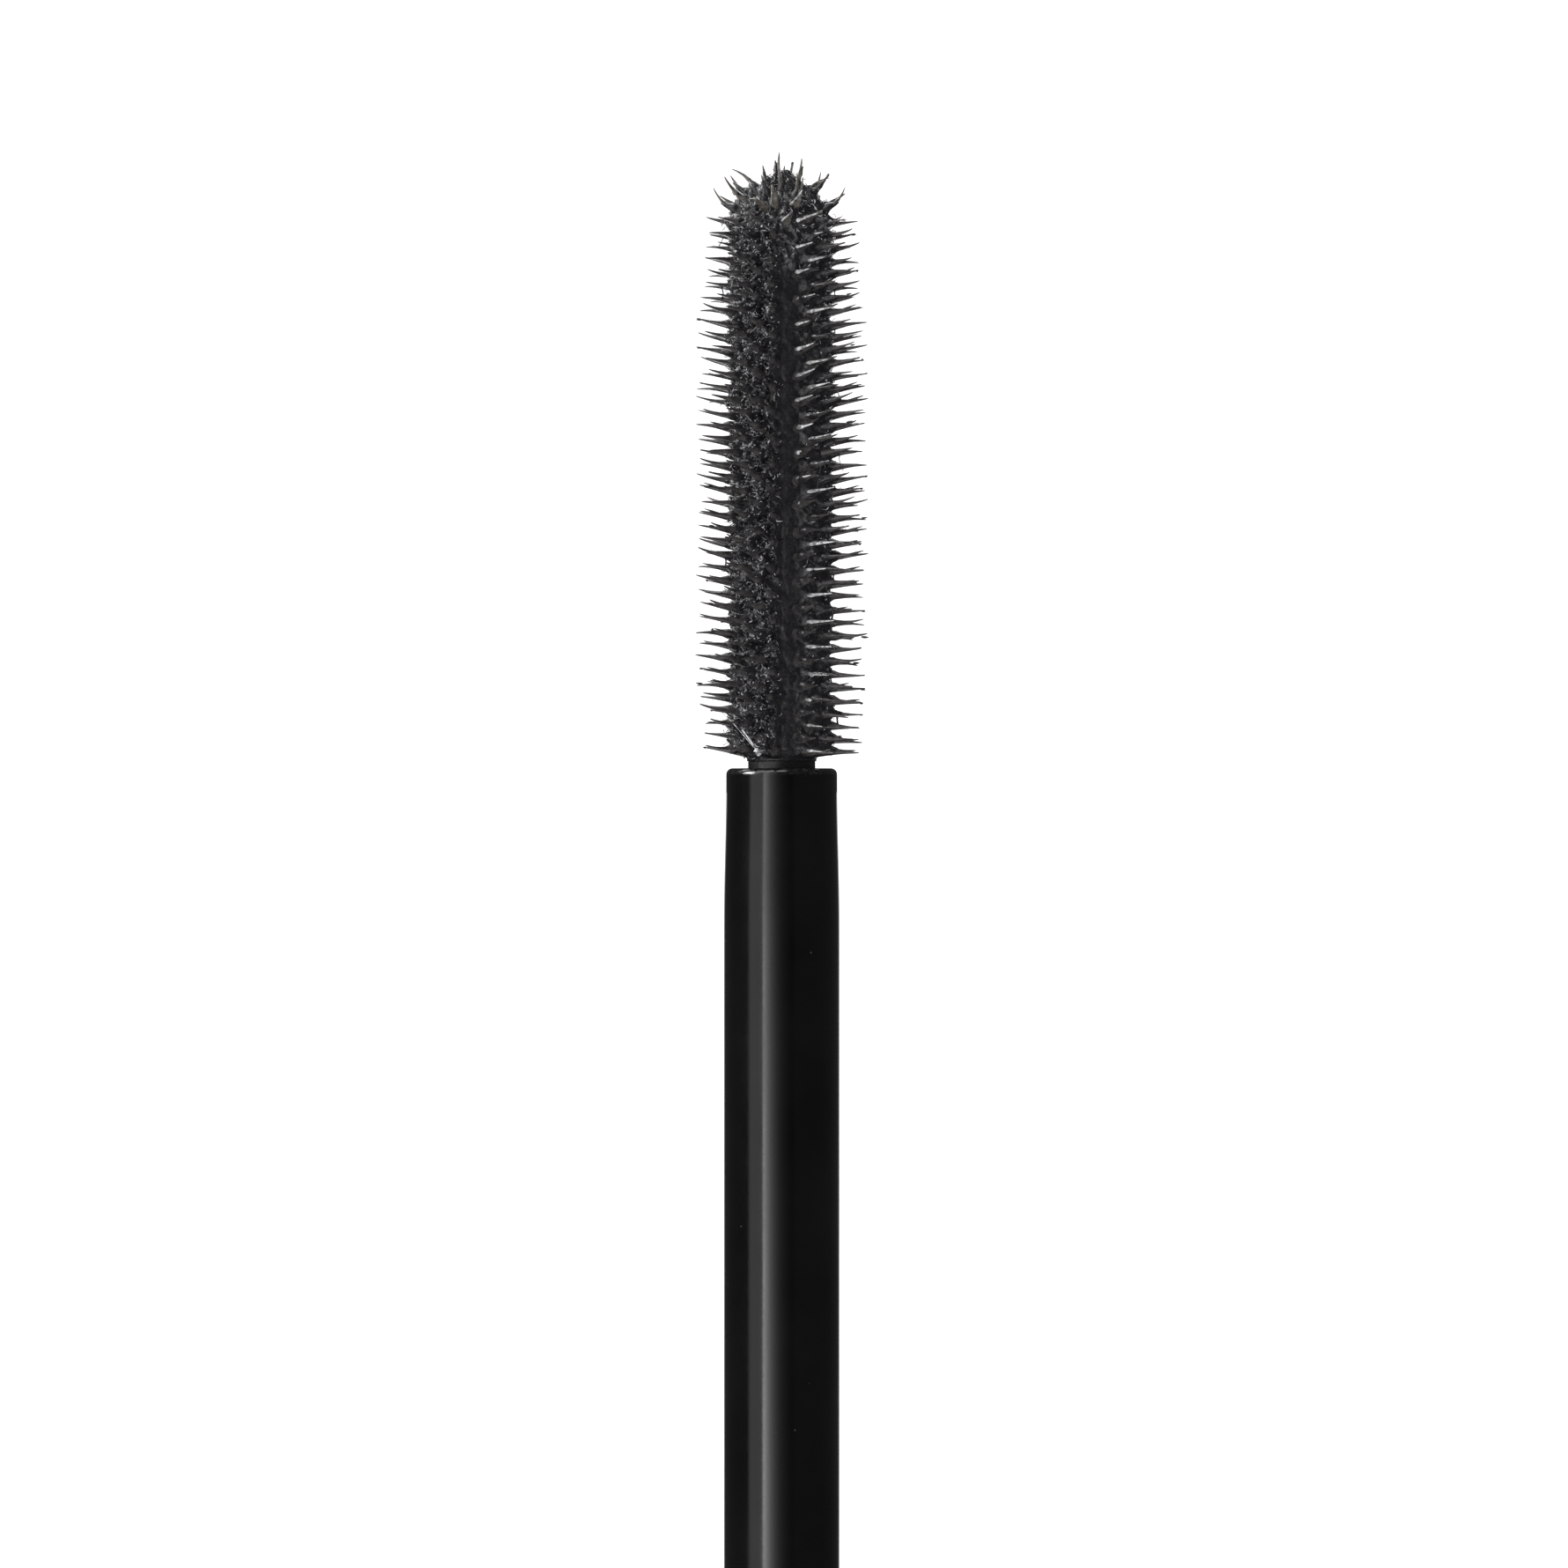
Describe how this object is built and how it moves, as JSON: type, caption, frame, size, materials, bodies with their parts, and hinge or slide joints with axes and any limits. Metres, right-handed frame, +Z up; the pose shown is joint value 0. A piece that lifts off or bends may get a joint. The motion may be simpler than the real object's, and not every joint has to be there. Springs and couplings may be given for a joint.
{
  "type": "mascara",
  "caption": "Mascara with its wand drawn out of the tube: a moulded brush loaded with black formula on a round stem in a screw cap, and the tube with its wiper.",
  "frame": {"origin": "on the table, under the middle of the row that the wand and the tube make", "axes": "+Y along the axis of the wand and the tube, from the cap towards the tube's base; +Z up"},
  "size_m": [0.017, 0.21, 0.017],
  "materials": {
    "brush": "moulded black elastomer, coated with formula",
    "formula": "wet black mascara formula, a wax and oil paste",
    "stem": "satin gloss black",
    "shell": "gloss black",
    "liner": "moulded black, satin",
    "weight": "plain turned steel",
    "seal": "soft off-white seal",
    "vial": "smoke black, glossy",
    "wiper": "natural soft plastic stained by formula",
    "collar": "polished",
    "label": "blank satin label"
  },
  "bodies": {
    "tube": {"vial": "vial", "wiper": "wiper", "tube_shell": "shell", "collar_ring": "collar", "base_plug": "shell", "base_label": "label", "formula_fill": "formula"},
    "washer": {"sealing_washer": "seal"},
    "wand": {"brush": "brush", "stem": "stem", "inner_cap": "liner", "cap_shell": "shell", "cap_weight": "weight"}
  },
  "joints": [
    {"name": "wand_slide", "type": "slide", "parent": "tube", "child": "washer", "axis": [0, 1, 0], "range_m": [0, 0.0896], "deforming": ["wiper"]},
    {"name": "cap_screw", "type": "hinge", "parent": "washer", "child": "wand", "pos_m": [0, -0.06, 0.0085], "axis": [0, 1, 0], "range_deg": [0, 360]}
  ]
}
